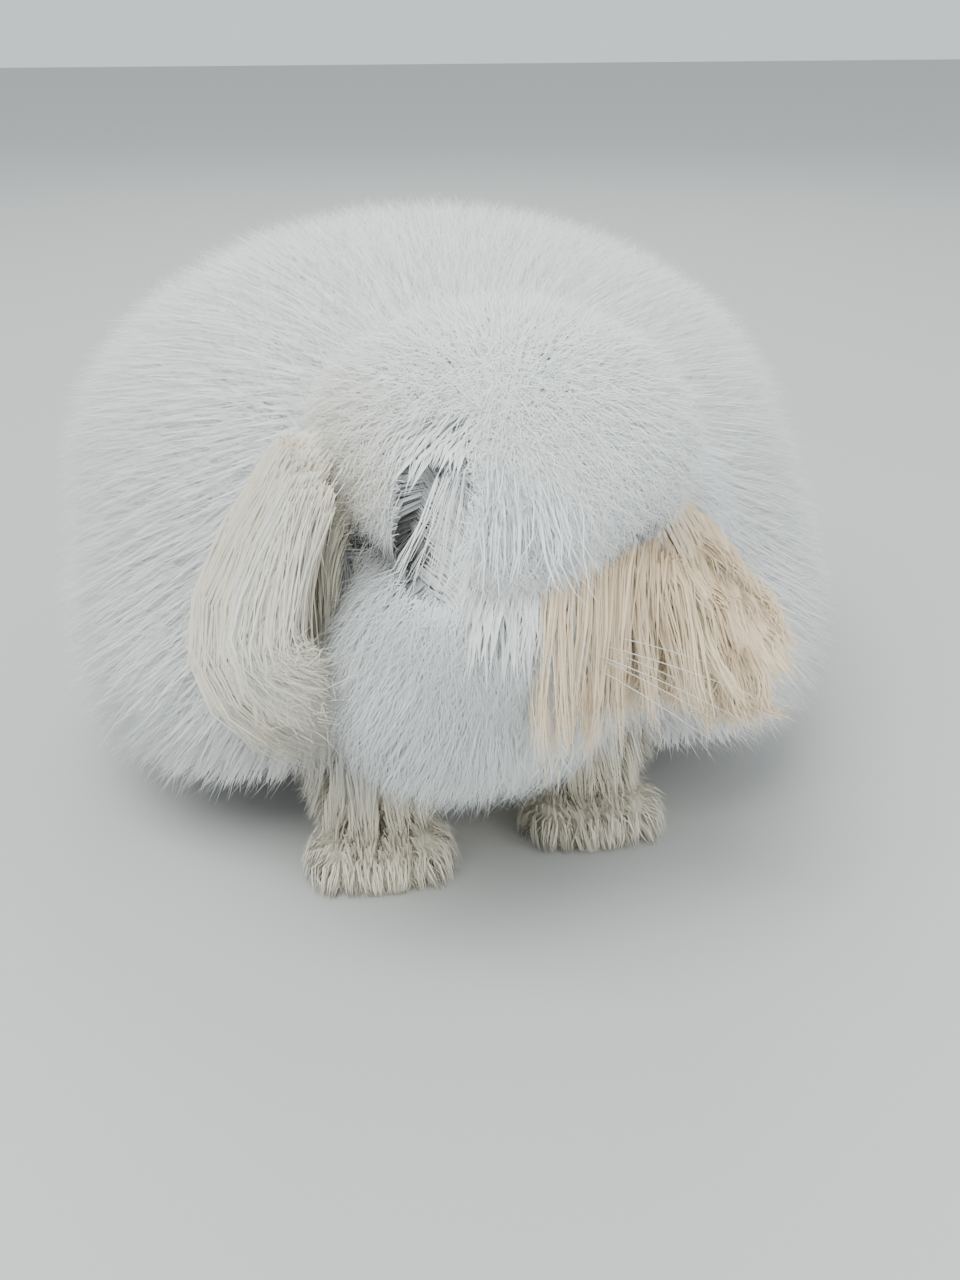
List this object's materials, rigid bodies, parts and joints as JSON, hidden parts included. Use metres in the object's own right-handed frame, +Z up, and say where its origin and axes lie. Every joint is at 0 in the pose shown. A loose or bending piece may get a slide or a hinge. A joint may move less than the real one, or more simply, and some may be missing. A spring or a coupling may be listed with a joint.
{
  "type": "angora rabbit",
  "caption": "Life-size long-woolled rabbit standing on all fours with hanging furnished ears, as a still solid figure.",
  "frame": {"origin": "on the floor, under the middle of the whole rabbit with its coat", "axes": "+Z up, the rabbit faces -Y, its left side is on +X"},
  "size_m": [0.335, 0.4062, 0.2243],
  "materials": {
    "wool": "soft white spinning wool",
    "ear_wool": "cream and tan long wool",
    "foot_fur": "short cream fur",
    "eye": "wet dark brown"
  },
  "bodies": {
    "root": {"torso": "wool", "neck": "wool", "head": "wool", "tail": "wool", "ear_left": "ear_wool", "ear_right": "ear_wool", "eye_left": "eye", "eye_right": "eye", "foreleg_left": "foot_fur", "foreleg_right": "foot_fur", "hindleg_left": "foot_fur", "hindleg_right": "foot_fur"}
  },
  "joints": []
}
